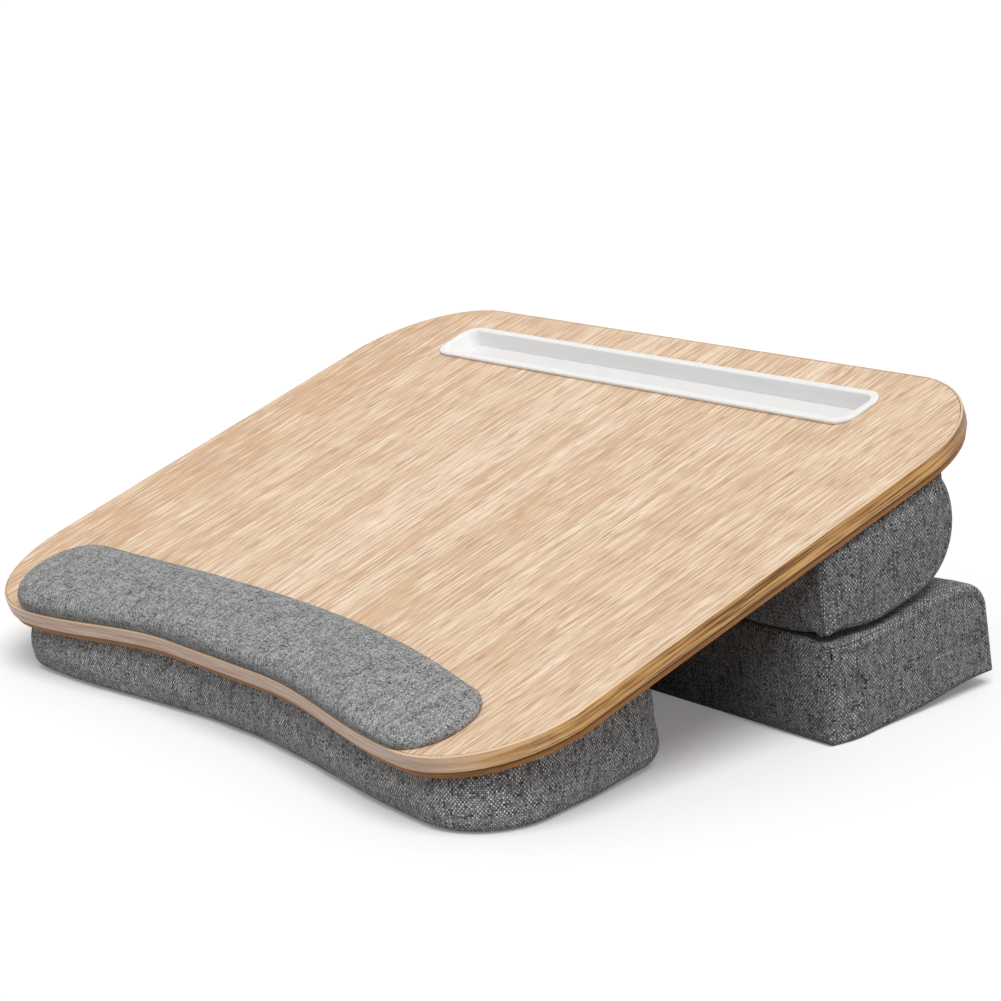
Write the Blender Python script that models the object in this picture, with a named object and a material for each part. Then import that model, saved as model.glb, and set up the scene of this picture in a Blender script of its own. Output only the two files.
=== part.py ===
"""Cushioned lap desk.

An oak-faced board with a curved front edge carries a padded wrist rest and a moulded tablet tray.
A thin base panel under it joins it to a wedge cushion in front and to two cushions behind, which
are folded on each other and raise the rear edge.

The desk's axes are X right, Y back and Z up, with Z = 0 on the surface it stands on and the
origin under the middle of its bounding box. The board has axes of its own: U right, V back along
its top face and W square to that face. U = V = W = 0 is the middle of the line that touches the
two front lobes of the top face. Cushion lengths called Y are level and start at that same line.
"""

import math

import bmesh
import bpy
from mathutils import Vector

# Board, edge strip and base panel
BOARD_WIDTH = 0.450
BOARD_DEPTH = 0.329
BOARD_THICKNESS = 0.008
FRONT_CORNER = 0.060
REAR_CORNER = 0.064
FRONT_DIP = 0.014
DIP_FLAT = 0.040
BAND_THICKNESS = 0.001
BAND_ROUNDING = 0.0007
BASE_THICKNESS = 0.003
BASE_INSET = 0.0015

# How the board stands
BOARD_TILT = math.radians(18.0)
FRONT_HEIGHT = 0.0355

# Tablet tray
TRAY_LENGTH = 0.322
TRAY_WIDTH = 0.030
TRAY_CORNER = 0.0095
TRAY_SETBACK = 0.0365
TRAY_WALL = 0.0015
RIM_WIDTH = 0.0038
RIM_HEIGHT = 0.0018
RIM_ROUNDING = 0.0005
POCKET_DEPTH = 0.0065
POCKET_DRAFT = 0.002
SLOT_CLEARANCE = 0.0004

# Wrist rest
REST_LENGTH = 0.366
REST_SETBACK = 0.0012
REST_FRONT_CORNER = 0.024
REST_REAR_CORNER = 0.018
REST_END_DEPTH = 0.0465
REST_MIDDLE_DEPTH = 0.061
REST_HEIGHT = 0.014
REST_SHOULDER = 0.0165
REST_FULLNESS = 2.4

# Front cushion
FRONT_WIDTH = 0.405
FRONT_TAPER = 0.0135
FRONT_SETBACK = 0.0105
FRONT_REAR = 0.128
FRONT_DIP_FLAT = 0.005
FRONT_LOBE_CORNER = 0.034
FRONT_REAR_CORNER = 0.018
FRONT_EDGE = 0.006

# Rear cushions
REAR_WIDTH = 0.440
LOWER_TAPER = 0.004
REAR_FRONT = 0.190
LOWER_DEPTH = 0.112
LOWER_HEIGHT = 0.0465
CUSHION_CORNER = 0.005
LOWER_REAR_CORNER = 0.012
REAR_EDGE = 0.004
UPPER_DEPTH = 0.0845
UPPER_RADIUS = 0.027
UPPER_LIFT = 0.0085
UPPER_SLOPE = math.radians(14.0)
FOLD_DEPTH = 0.015
FOLD_END = 0.008
BOTTOM_INSET = 0.002

# Cloth, and the gap left between pieces that touch
CLOTH = 0.001
GAP = 0.0003
WELD_DISTANCE = 0.00001

# Outline resolution
EDGE_STEPS = 28
CORNER_STEPS = 13
SMALL_CORNER_STEPS = 6
ROUNDING_STEPS = 3
REST_RINGS = 6

BASE_TOP = -BOARD_THICKNESS - GAP
CUSHION_TOP = BASE_TOP - BASE_THICKNESS - GAP
DESK_DEPTH = BOARD_DEPTH * math.cos(BOARD_TILT) + BOARD_THICKNESS * math.sin(BOARD_TILT)
FRONT_LINE = -DESK_DEPTH / 2
TALL = 0.200


# Scene, collections and materials

def clear_scene():
    """Remove every object of the open file."""
    for item in list(bpy.data.objects):
        bpy.data.objects.remove(item, do_unlink=True)


def new_collection(name):
    """A collection linked to the scene."""
    group = bpy.data.collections.new(name)
    bpy.context.scene.collection.children.link(group)
    return group


def finish_material(name, colour, roughness):
    """A non-metallic Principled material."""
    material = bpy.data.materials.new(name)
    material.use_nodes = True
    shader = material.node_tree.nodes["Principled BSDF"]
    shader.inputs["Base Color"].default_value = (*colour, 1.0)
    shader.inputs["Roughness"].default_value = roughness
    shader.inputs["Metallic"].default_value = 0.0
    return material


def oak_laminate():
    return finish_material("oak_laminate", (0.72, 0.50, 0.33), 0.45)


def oak_edging():
    return finish_material("oak_edging", (0.55, 0.33, 0.18), 0.45)


def brown_fibreboard():
    return finish_material("brown_fibreboard", (0.30, 0.14, 0.05), 0.6)


def white_plastic():
    return finish_material("white_plastic", (0.88, 0.88, 0.88), 0.35)


def grey_linen(name):
    return finish_material(name, (0.16, 0.16, 0.17), 0.95)


def cream_foam(name):
    return finish_material(name, (0.80, 0.76, 0.62), 1.0)


def black_tape():
    return finish_material("black_tape", (0.04, 0.04, 0.045), 0.9)


# Outlines: closed, counter-clockwise lists of 2D points

def smooth_step(t):
    """Zero up to t = 0 and one from t = 1, with level ends."""
    t = min(max(t, 0.0), 1.0)
    return t * t * (3.0 - 2.0 * t)


def spread(start, end, steps):
    """Evenly spaced values without the last one."""
    return [start + (end - start) * i / steps for i in range(steps)]


def arc(centre, radius, start, end, steps=CORNER_STEPS):
    """Points on an arc between two angles in degrees, without the last one."""
    angles = [math.radians(a) for a in spread(start, end, steps)]
    return [(centre[0] + radius * math.cos(a), centre[1] + radius * math.sin(a)) for a in angles]


def arc_end(centre, radius, angle):
    """The point on an arc at an angle in degrees."""
    turn = math.radians(angle)
    return (centre[0] + radius * math.cos(turn), centre[1] + radius * math.sin(turn))


def front_edge(u, lobe, flat=DIP_FLAT):
    """How far the front edge lies behind its lobes: flat in the middle, level again at the lobes."""
    return FRONT_DIP * (1.0 - smooth_step((abs(u) - flat) / (lobe - flat)))


def tangent_angle(first, first_radius, second, second_radius):
    """The angle in degrees at which a straight side leaves one corner's arc and meets the next one's."""
    between = Vector(second) - Vector(first)
    turn = math.acos((first_radius - second_radius) / between.length)
    return math.degrees(math.atan2(between.y, between.x) - turn)


def corner_pair(front, front_radius, rear, rear_radius):
    """The right side of an outline: two corners given by their centres, and the straight between."""
    side = tangent_angle(front, front_radius, rear, rear_radius)
    points = arc(front, front_radius, -90, side) + [arc_end(front, front_radius, side)]
    return points + arc(rear, rear_radius, side, 90, SMALL_CORNER_STEPS) + [arc_end(rear, rear_radius, 90)]


def mirrored(points):
    """The same points on the left, in the order that closes the outline."""
    return [(-x, y) for x, y in reversed(points)]


def board_outline():
    """The board's outer edge, with its dipped front and a straight rear edge."""
    half = BOARD_WIDTH / 2
    lobe = half - FRONT_CORNER
    bend = half - REAR_CORNER
    rear = BOARD_DEPTH - REAR_CORNER
    points = [(u, front_edge(u, lobe)) for u in spread(-lobe, lobe, EDGE_STEPS)]
    points += arc((lobe, FRONT_CORNER), FRONT_CORNER, -90, 0)
    points += arc((bend, rear), REAR_CORNER, 0, 90)
    points += arc((-bend, rear), REAR_CORNER, 90, 180)
    points += arc((-lobe, FRONT_CORNER), FRONT_CORNER, 180, 270)
    return points


def front_cushion_outline():
    """The front cushion on the floor: it follows the board's front edge and narrows to the rear."""
    half = FRONT_WIDTH / 2
    lobe = half - FRONT_LOBE_CORNER
    front = (lobe, FRONT_SETBACK + FRONT_LOBE_CORNER)
    rear = (half - FRONT_TAPER - FRONT_REAR_CORNER, FRONT_REAR - FRONT_REAR_CORNER)
    edge = [(x, front_edge(x, lobe, FRONT_DIP_FLAT)) for x in spread(-lobe, lobe, EDGE_STEPS)]
    side = corner_pair(front, FRONT_LOBE_CORNER, rear, FRONT_REAR_CORNER)
    return [(x, FRONT_SETBACK + y) for x, y in edge] + side + mirrored(side)[:-1]


def rest_outline():
    """The wrist rest: a front edge that follows the board, round ends and a bowed rear edge."""
    half = REST_LENGTH / 2
    lobe = half - REST_FRONT_CORNER
    bend = half - REST_REAR_CORNER
    front = REST_SETBACK + REST_FRONT_CORNER
    rear = REST_END_DEPTH - REST_REAR_CORNER
    board_lobe = BOARD_WIDTH / 2 - FRONT_CORNER
    points = [(u, REST_SETBACK + front_edge(u, board_lobe)) for u in spread(-lobe, lobe, EDGE_STEPS)]
    points += arc((lobe, front), REST_FRONT_CORNER, -90, 0, SMALL_CORNER_STEPS)
    points += arc((bend, rear), REST_REAR_CORNER, 0, 90, SMALL_CORNER_STEPS)
    bow = REST_MIDDLE_DEPTH - REST_END_DEPTH
    points += [(u, REST_END_DEPTH + bow * (1.0 - (u / bend) ** 2)) for u in spread(bend, -bend, EDGE_STEPS)]
    points += arc((-bend, rear), REST_REAR_CORNER, 90, 180, SMALL_CORNER_STEPS)
    points += arc((-lobe, front), REST_FRONT_CORNER, 180, 270, SMALL_CORNER_STEPS)
    return points


def rounded_rectangle(length, width, radius, centre=(0.0, 0.0)):
    """A rectangle with round corners about its centre."""
    x = length / 2 - radius
    y = width / 2 - radius
    corners = [((x, y), 0), ((-x, y), 90), ((-x, -y), 180), ((x, -y), 270)]
    points = []
    for (cx, cy), start in corners:
        points += arc((centre[0] + cx, centre[1] + cy), radius, start, start + 90, SMALL_CORNER_STEPS)
        points.append(arc_end((centre[0] + cx, centre[1] + cy), radius, start + 90))
    return points


def tray_ring(inset_by):
    """The tray's outline moved inwards."""
    return rounded_rectangle(TRAY_LENGTH - 2 * inset_by, TRAY_WIDTH - 2 * inset_by,
                             TRAY_CORNER - inset_by, (0.0, BOARD_DEPTH - TRAY_SETBACK))


def lower_cushion_outline():
    """The lower cushion from above, with small front corners and larger rear ones."""
    half = REAR_WIDTH / 2
    front = (half - CUSHION_CORNER, REAR_FRONT + CUSHION_CORNER)
    rear_y = REAR_FRONT + LOWER_DEPTH - LOWER_REAR_CORNER
    rear = (half - LOWER_TAPER - LOWER_REAR_CORNER, rear_y)
    side = corner_pair(front, CUSHION_CORNER, rear, LOWER_REAR_CORNER)
    return side + mirrored(side)


def upper_cushion_profile(inset_by):
    """The upper cushion seen from the right: Y back and Z up.

    Its lower front edge is rounded. It is flat where it rests on the fold, then rises at a slope to
    the round lower rear edge, and its rear face is square to the board.
    """
    bottom = upper_bottom()
    centre = Vector((REAR_FRONT + UPPER_DEPTH - UPPER_RADIUS, bottom + UPPER_LIFT + UPPER_RADIUS))
    radius = UPPER_RADIUS - inset_by
    start = math.degrees(UPPER_SLOPE) - 90.0
    end = math.degrees(BOARD_TILT)
    round_edge = arc(centre, radius, start, end)
    low = round_edge[0]
    level = bottom + inset_by
    flat_end = low[0] - (low[1] - level) / math.tan(UPPER_SLOPE)
    up = Vector((-math.sin(BOARD_TILT), math.cos(BOARD_TILT)))
    last = centre + radius * Vector((math.cos(BOARD_TILT), math.sin(BOARD_TILT)))
    top = last + up * (TALL - last.y) / up.y
    front = REAR_FRONT + inset_by
    front_radius = CUSHION_CORNER - inset_by
    corner = (front + front_radius, level + front_radius)
    low_front = arc(corner, front_radius, 180, 270, SMALL_CORNER_STEPS) + [(corner[0], level)]
    return low_front + [(flat_end, level)] + round_edge + [tuple(last), tuple(top), (front, TALL)]


def upper_bottom():
    """Height of the upper cushion's underside: the lower cushion, then the fold."""
    return LOWER_HEIGHT + GAP + CLOTH + GAP


def inset(points, distance):
    """A closed counter-clockwise outline moved inwards."""
    count = len(points)
    moved = []
    for i, point in enumerate(points):
        here = Vector(point)
        first = (here - Vector(points[i - 1])).normalized()
        second = (Vector(points[(i + 1) % count]) - here).normalized()
        inward = Vector((-first.y, first.x)) + Vector((-second.y, second.x))
        moved.append(tuple(here + inward * distance / (1.0 + first.dot(second))))
    return moved


def quarter_turn(inset_by, w, radius, start):
    """A rounded corner of a section, as insets and heights, from an angle in degrees."""
    turns = [math.radians(start + 90.0 * i / ROUNDING_STEPS) for i in range(ROUNDING_STEPS + 1)]
    return [(inset_by - radius * math.cos(turn), w + radius * math.sin(turn)) for turn in turns]


def rounded_section(bottom, top, inset_by, edge, round_top):
    """Insets and heights up the side of a block whose end edges are rounded."""
    radius = edge - inset_by
    section = quarter_turn(edge, bottom + radius, radius, -90.0)
    return section + (quarter_turn(edge, top - radius, radius, 0.0) if round_top else [(inset_by, top)])


# Objects

def place(item, collection, material=None, parent=None):
    """Link an object, give it its material and fix it to its parent."""
    collection.objects.link(item)
    item.parent = parent
    if material is not None:
        item.data.materials.append(material)
    return item


def plate_curve(name, outlines, bottom, thickness):
    """A flat plate as a filled 2D curve: the first outline is its edge, others are holes."""
    curve = bpy.data.curves.new(name, "CURVE")
    curve.dimensions = "2D"
    curve.fill_mode = "BOTH"
    curve.extrude = thickness / 2
    for outline in outlines:
        spline = curve.splines.new("POLY")
        spline.points.add(len(outline) - 1)
        spline.use_cyclic_u = True
        for point, (x, y) in zip(spline.points, outline):
            point.co = (x, y, 0.0, 1.0)
    item = bpy.data.objects.new(name, curve)
    item.location = (0.0, 0.0, bottom + thickness / 2)
    return item


def solid_plate(name, outlines, bottom, thickness):
    """The same plate as a welded mesh."""
    curve_item = plate_curve(name, outlines, bottom, thickness)
    bpy.context.scene.collection.objects.link(curve_item)
    evaluated = curve_item.evaluated_get(bpy.context.evaluated_depsgraph_get())
    mesh = bpy.data.meshes.new_from_object(evaluated)
    mesh.name = name
    location = curve_item.location.copy()
    bpy.data.objects.remove(curve_item, do_unlink=True)
    weld(mesh)
    item = bpy.data.objects.new(name, mesh)
    item.location = location
    return item


def weld(mesh):
    """Join the caps of a mesh that was a curve to its sides."""
    work = bmesh.new()
    work.from_mesh(mesh)
    bmesh.ops.remove_doubles(work, verts=work.verts, dist=WELD_DISTANCE)
    bmesh.ops.recalc_face_normals(work, faces=work.faces)
    work.to_mesh(mesh)
    work.free()


def loft(name, rings, capped=True):
    """A solid through rings of the same number of points, capped at both ends or joined into a loop."""
    mesh = bpy.data.meshes.new(name)
    work = bmesh.new()
    loops = [[work.verts.new(point) for point in ring] for ring in rings]
    count = len(rings[0])
    following = loops[1:] if capped else loops[1:] + loops[:1]
    for lower, upper in zip(loops, following):
        for i in range(count):
            j = (i + 1) % count
            work.faces.new((lower[i], lower[j], upper[j], upper[i]))
    if capped:
        work.faces.new(reversed(loops[0]))
        work.faces.new(loops[-1])
    bmesh.ops.recalc_face_normals(work, faces=work.faces)
    work.to_mesh(mesh)
    work.free()
    return bpy.data.objects.new(name, mesh)


def shade_round(item, angle=35.0):
    """Smooth shading with sharp edges kept."""
    item.data.shade_smooth()
    item.data.set_sharp_from_angle(angle=math.radians(angle))


def cut(item, cutter):
    """Subtract a cutter."""
    difference = item.modifiers.new("cut", "BOOLEAN")
    difference.operation = "DIFFERENCE"
    difference.solver = "EXACT"
    difference.object = cutter


def as_cutter(item, collection, parent=None):
    """Set an object apart as one that only cuts."""
    item.hide_render = True
    item.display_type = "WIRE"
    return place(item, collection, parent=parent)


def box_cutter(name, size, centre, collection, parent=None):
    """A box that only cuts."""
    mesh = bpy.data.meshes.new(name)
    work = bmesh.new()
    bmesh.ops.create_cube(work, size=1.0)
    bmesh.ops.scale(work, vec=Vector(size), verts=work.verts)
    work.to_mesh(mesh)
    work.free()
    item = bpy.data.objects.new(name, mesh)
    item.location = centre
    return as_cutter(item, collection, parent)


# Board, edging, base panel and tray, in the board's own axes

def make_board(parts, board_frame):
    outline = inset(board_outline(), BAND_THICKNESS + GAP)
    slot = tray_ring(RIM_WIDTH - TRAY_WALL - SLOT_CLEARANCE)
    board = solid_plate("board_panel", [outline, slot], -BOARD_THICKNESS, BOARD_THICKNESS)
    shade_round(board)
    place(board, parts, oak_laminate(), board_frame)


def make_edge_band(parts, board_frame):
    """The strip glued round the board, with its two outer edges eased."""
    centre = BAND_ROUNDING
    section = quarter_turn(centre, -BOARD_THICKNESS + BAND_ROUNDING, BAND_ROUNDING, -90.0)
    section += quarter_turn(centre, -BAND_ROUNDING, BAND_ROUNDING, 0.0)
    section += [(BAND_THICKNESS, 0.0), (BAND_THICKNESS, -BOARD_THICKNESS)]
    outline = board_outline()
    rings = [[(u, v, w) for u, v in inset(outline, inset_by)] for inset_by, w in section]
    band = loft("edge_band", rings, capped=False)
    shade_round(band)
    place(band, parts, oak_edging(), board_frame)


def make_base_panel(parts, board_frame):
    outline = inset(board_outline(), BASE_INSET)
    base = solid_plate("base_panel", [outline], BASE_TOP - BASE_THICKNESS, BASE_THICKNESS)
    shade_round(base)
    place(base, parts, brown_fibreboard(), board_frame)


def tray_section():
    """The tray's section from under its floor, round the rim and down to the floor: inset, W."""
    outer_wall = RIM_WIDTH - TRAY_WALL
    floor = -POCKET_DEPTH
    shoulder = RIM_HEIGHT - RIM_ROUNDING
    under = [(outer_wall + POCKET_DRAFT, floor - TRAY_WALL), (outer_wall, GAP), (0.0, GAP)]
    outer_edge = quarter_turn(RIM_ROUNDING, shoulder, RIM_ROUNDING, 0.0)
    inner_edge = quarter_turn(RIM_WIDTH - RIM_ROUNDING, shoulder, RIM_ROUNDING, 90.0)
    return under + outer_edge + inner_edge + [(RIM_WIDTH + POCKET_DRAFT, floor)]


def make_tray(parts, board_frame):
    """The moulded tray: a flat rim on the board and a drafted pocket through the slot."""
    rings = [[(u, v, w) for u, v in tray_ring(inset_by)] for inset_by, w in tray_section()]
    tray = loft("slot_tray", rings)
    shade_round(tray)
    place(tray, parts, white_plastic(), board_frame)


# Wrist rest, in the board's own axes

def dome_rings(inset_by):
    """Rings that rise from the wrist rest's outline to its nearly flat top."""
    height = REST_HEIGHT - inset_by
    rings = []
    for i in range(REST_RINGS + 1):
        turn = math.radians(90.0 * i / REST_RINGS)
        across = REST_SHOULDER * (1.0 - math.cos(turn) ** (2.0 / REST_FULLNESS))
        rise = height * math.sin(turn) ** (2.0 / REST_FULLNESS)
        ring = inset(rest_outline(), inset_by + across * (1.0 - inset_by / REST_SHOULDER))
        rings.append([(u, v, GAP + rise) for u, v in ring])
    return rings


def make_wrist_rest(parts, cutters, board_frame):
    """A domed foam core glued to the board under a stretched cloth cover."""
    foam = loft("wrist_rest_foam", dome_rings(CLOTH + GAP))
    shade_round(foam)
    place(foam, parts, cream_foam("rest_foam"), board_frame)
    cover = loft("wrist_rest_cover", dome_rings(0.0))
    cut(cover, as_cutter(loft("wrist_rest_core", below(dome_rings(CLOTH))), cutters, board_frame))
    shade_round(cover)
    place(cover, parts, grey_linen("rest_linen"), board_frame)


def below(rings):
    """The same rings with one more under the first, so that a cutter starts below the cover."""
    first = [(u, v, w - CLOTH) for u, v, w in rings[0]]
    return [first] + rings


# Cushions, in the desk's axes

def front_block(name, inset_by):
    """The front cushion before it is trimmed to the board, or its inside."""
    section = rounded_section(inset_by, TALL, inset_by, FRONT_EDGE, round_top=False)
    outline = front_cushion_outline()
    rings = [[(x, FRONT_LINE + y, z) for x, y in inset(outline, ring)] for ring, z in section]
    return loft(name, rings)


def upper_block(name, inset_by):
    """The upper cushion before it is trimmed to the board: its profile, stretched along X."""
    half = REAR_WIDTH / 2 - inset_by
    section = rounded_section(-half, half, inset_by, REAR_EDGE, round_top=True)
    rings = [[(x, FRONT_LINE + y, z) for y, z in upper_cushion_profile(ring)] for ring, x in section]
    return loft(name, rings)


def lower_block(name, inset_by):
    """The lower cushion, or its inside."""
    section = rounded_section(inset_by, LOWER_HEIGHT - inset_by, inset_by, REAR_EDGE, round_top=True)
    outline = lower_cushion_outline()
    rings = [[(x, FRONT_LINE + y, z) for x, y in inset(outline, ring)] for ring, z in section]
    return loft(name, rings)


def make_cushion(name, block, trim, parts, cutters):
    """A foam core in a cloth cover that is open where the trimming cutter takes it off."""
    cover = block(name + "_cover", 0.0)
    cut(cover, trim)
    cut(cover, as_cutter(block(name + "_core", CLOTH), cutters))
    shade_round(cover)
    place(cover, parts, grey_linen(name + "_linen"))
    foam = block(name + "_foam", CLOTH + GAP)
    cut(foam, trim)
    shade_round(foam)
    place(foam, parts, cream_foam(name + "_filling"))


def make_lower_bottom(parts):
    """The cloth sewn in under the lower cushion."""
    outline = inset(lower_cushion_outline(), BOTTOM_INSET)
    bottom = solid_plate("lower_cushion_bottom", [outline], 0.0, CLOTH)
    bottom.location.y += FRONT_LINE
    place(bottom, parts, grey_linen("bottom_linen"))


def make_fold(parts):
    """The sewn tape between the two rear cushions, on which the lower one folds."""
    front = REAR_FRONT + REAR_EDGE + GAP
    length = REAR_WIDTH - 2 * FOLD_END
    outline = rounded_rectangle(length, FOLD_DEPTH, CLOTH, (0.0, front + FOLD_DEPTH / 2))
    fold = solid_plate("fold_tape", [outline], LOWER_HEIGHT + GAP, CLOTH)
    fold.location.y += FRONT_LINE
    place(fold, parts, black_tape())


def main():
    clear_scene()
    parts = new_collection("cushioned_lap_desk")
    cutters = new_collection("cutters")
    board_frame = bpy.data.objects.new("board_frame", None)
    board_frame.location = (0.0, FRONT_LINE, FRONT_HEIGHT)
    board_frame.rotation_euler = (BOARD_TILT, 0.0, 0.0)
    place(board_frame, cutters)
    cutter_size = (2 * BOARD_WIDTH, 2 * BOARD_DEPTH, 2 * TALL)
    underside = box_cutter("underside_cutter", cutter_size, (0.0, BOARD_DEPTH / 2, CUSHION_TOP + TALL),
                           cutters, board_frame)
    floor = box_cutter("floor_cutter", cutter_size, (0.0, 0.0, CLOTH + GAP - TALL), cutters)
    make_board(parts, board_frame)
    make_edge_band(parts, board_frame)
    make_base_panel(parts, board_frame)
    make_tray(parts, board_frame)
    make_wrist_rest(parts, cutters, board_frame)
    make_cushion("front_cushion", front_block, underside, parts, cutters)
    make_cushion("upper_cushion", upper_block, underside, parts, cutters)
    make_cushion("lower_cushion", lower_block, floor, parts, cutters)
    make_lower_bottom(parts)
    make_fold(parts)


main()
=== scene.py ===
"""Looks of the cushioned lap desk: oak laminate board, moulded tray and sewn grey cushions.

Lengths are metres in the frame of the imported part: X right, Y back, Z up, Z = 0 on the floor. The
board has axes of its own, U right, V back along its top face and W square to it. Level lengths
called Y in the cushions' sizes start at the line that touches the board's two front lobes.
"""

import math

import bmesh
import bpy
from mathutils import Matrix, Vector, noise
from mathutils.bvhtree import BVHTree


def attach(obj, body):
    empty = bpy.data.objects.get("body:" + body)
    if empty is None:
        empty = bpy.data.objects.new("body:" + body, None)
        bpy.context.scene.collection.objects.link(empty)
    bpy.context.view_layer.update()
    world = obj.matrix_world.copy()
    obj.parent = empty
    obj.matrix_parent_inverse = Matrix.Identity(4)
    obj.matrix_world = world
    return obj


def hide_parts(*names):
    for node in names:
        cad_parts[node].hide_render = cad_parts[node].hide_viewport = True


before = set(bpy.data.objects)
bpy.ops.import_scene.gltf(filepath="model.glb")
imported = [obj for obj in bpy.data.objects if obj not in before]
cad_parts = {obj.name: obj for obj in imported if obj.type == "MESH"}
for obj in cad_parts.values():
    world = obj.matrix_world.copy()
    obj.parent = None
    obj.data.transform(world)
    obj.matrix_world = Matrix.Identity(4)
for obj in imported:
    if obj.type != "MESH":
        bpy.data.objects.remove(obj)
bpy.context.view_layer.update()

# The board's place
TILT = math.radians(18.0)
FRONT_LINE = -0.157685
FRONT_HEIGHT = 0.0355
BOARD_WIDTH = 0.450
FRONT_CORNER = 0.060
FRONT_DIP = 0.014
DIP_FLAT = 0.040
CUSHION_TOP = -0.0116
CLEARANCE = 0.0004

# Wrist rest
REST_RIGHT_END = 0.1835
REST_LEFT_END = 0.1813
REST_SETBACK = 0.0003
REST_FRONT_CORNER = 0.024
REST_FRONT_LEFT_CORNER = 0.0262
REST_RIGHT_CORNER = 0.0205
REST_LEFT_CORNER = 0.028
REST_RIGHT_DEPTH = 0.0460
REST_LEFT_DEPTH = 0.0550
REST_MIDDLE_DEPTH = 0.061
REST_HEIGHT = 0.0104
REST_CROWN = 0.0008
REST_SHOULDER = 0.0165
REST_TUCK = 0.0006
REST_FULLNESS = 2.25
REST_RIGHT_FALL = 0.42
REST_LEFT_FALL = -0.20
REST_FALL_FROM = 0.105
REST_BOW = 2.2
REST_LAY = 0.0004
REST_FOOT = 0.0030
REST_SPINE_END = 0.030
REST_SPACING = 0.0025

# Front cushion
FRONT_WIDTH = 0.405
FRONT_REAR_WIDTH = 0.378
FRONT_SETBACK = 0.0105
FRONT_REAR = 0.128
FRONT_DIP_FLAT = 0.005
FRONT_LOBE_CORNER = 0.034
FRONT_REAR_CORNER = 0.018
FRONT_EDGE = 0.006
FRONT_REAR_EDGE = 0.0055
FRONT_LEFT_EDGE = 0.0015
FRONT_BULGE = 0.0012
FRONT_MIDDLE = 0.072
FRONT_MIDDLE_END = 0.16

# Rear cushions
REAR_WIDTH = 0.440
REAR_FRONT = 0.190
LOWER_DEPTH = 0.112
LOWER_HEIGHT = 0.0465
UPPER_DEPTH = 0.0848
UPPER_RADIUS = 0.033
UPPER_LIFT = 0.0060
UPPER_SLOPE = math.radians(14.0)
UPPER_BOTTOM = LOWER_HEIGHT + 0.0016
UPPER_LEAN = 0.0035
UPPER_FRONT_ROUND = 0.003
UPPER_TAPER = 0.006
UPPER_SWELL = 0.0035
UPPER_MIDDLE = (0.222, 0.250, 0.085)
LOWER_LIFT = 0.0050
LOWER_CROWN = 0.0058
LOWER_TOP_ROUND = 0.0145
LOWER_FOOT_ROUND = 0.0022
LOWER_LEAN = 0.0040
LOWER_TAPER = 0.028
LOWER_SPREAD = 0.013
LOWER_SWELL = 0.0016
LOWER_MIDDLE = (0.212, 0.280, 0.024)
CUSHION_SPACING = 0.0030

# Cloth
WARP_PITCH = 0.00082
WEFT_PITCH = 0.00100
REST_LINEN = 0.28
FRONT_LINEN = 0.32
# Partly painted shade: the rear cushions' cloth is darker than the front cushion's, partly its own grey
# and partly the shade under the board.
REAR_LINEN_PARTLY_SHADED = 0.182
SEAM_SINK = 0.0016
SEAM_RIDGE = 0.0006
END_RIDGE = 0.0008
RIDGE_WIDTH = 0.0013
PUCKER_HEIGHT = 0.0018
PUCKER_REACH = 0.014
PUCKER_FOLDS = 7.0
STITCH_INSET = 0.0034
STITCH_FILL = 0.95
STITCH_RADIUS = 0.00034
STITCH_TIP = 0.00010
STITCH_RISE = 0.00012
STITCH_CLEAR = 0.003
CAP_FROM = 0.92
MERGE_DISTANCE = 0.00002

# What holds the cloth while it is stuffed
HOLD_START = 0.0004
HOLD_REACH = 0.006
FOLD_REACH = 0.004
FOLD_SPAN = 0.030
SEAM_HOLD = 0.7
REST_HOLD = 0.4
STUFFING_FRAMES = 16
STUFFING_PRESSURE = 4.0
STUFFING_EASE = 0.012
STUFFING_REACH = 0.0016
STUFFING_EVENING = 3

# Camera
CAMERA_PLACE = Vector((1.0710, -0.59615 + FRONT_LINE, 0.36563 + FRONT_HEIGHT))
CAMERA_RIGHT = Vector((0.60162, 0.79539, -0.07353))
CAMERA_UP = Vector((-0.14594, 0.19995, 0.96888))
CAMERA_LENS = 99.98
SENSOR = 36.0

# Light and floor
WORLD_LIGHT = 0.42
KEY_DIRECTION = (-0.54, 0.25, -1.0)
KEY_STRENGTH = 2.08
KEY_WIDTH = math.radians(34.0)
FLOOR_SIZE = 15.0
FLOOR_DROP = 0.0003
FLOOR_BOUNCE = 0.34
FLOOR_WHITE = 0.90
FLOOR_GLOW = 0.16


# Camera, lamps and floor

def make_camera():
    data = bpy.data.cameras.new("camera")
    data.lens = CAMERA_LENS
    data.sensor_width = SENSOR
    data.sensor_height = SENSOR
    data.sensor_fit = "HORIZONTAL"
    data.clip_start = 0.01
    camera = bpy.data.objects.new("camera", data)
    bpy.context.scene.collection.objects.link(camera)
    right = CAMERA_RIGHT.normalized()
    up = (CAMERA_UP - right * CAMERA_UP.dot(right)).normalized()
    turn = Matrix((right, up, right.cross(up))).transposed()
    camera.matrix_world = Matrix.Translation(CAMERA_PLACE) @ turn.to_4x4()
    bpy.context.scene.camera = camera


def camera_only(tree):
    """One for camera, glossy and transmission rays, which see the white of the studio."""
    path = tree.nodes.new("ShaderNodeLightPath")
    seen = math_node(tree, "MAXIMUM", path.outputs["Is Camera Ray"], path.outputs["Is Glossy Ray"])
    return math_node(tree, "MAXIMUM", seen, path.outputs["Is Transmission Ray"])


def make_world():
    world = bpy.data.worlds.new("studio")
    bpy.context.scene.world = world
    world.use_nodes = True
    tree = world.node_tree
    background = tree.nodes["Background"]
    background.inputs["Color"].default_value = (1.0, 1.0, 1.0, 1.0)
    strength = mix_value(tree, camera_only(tree), WORLD_LIGHT, 1.0)
    tree.links.new(strength, background.inputs["Strength"])


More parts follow.
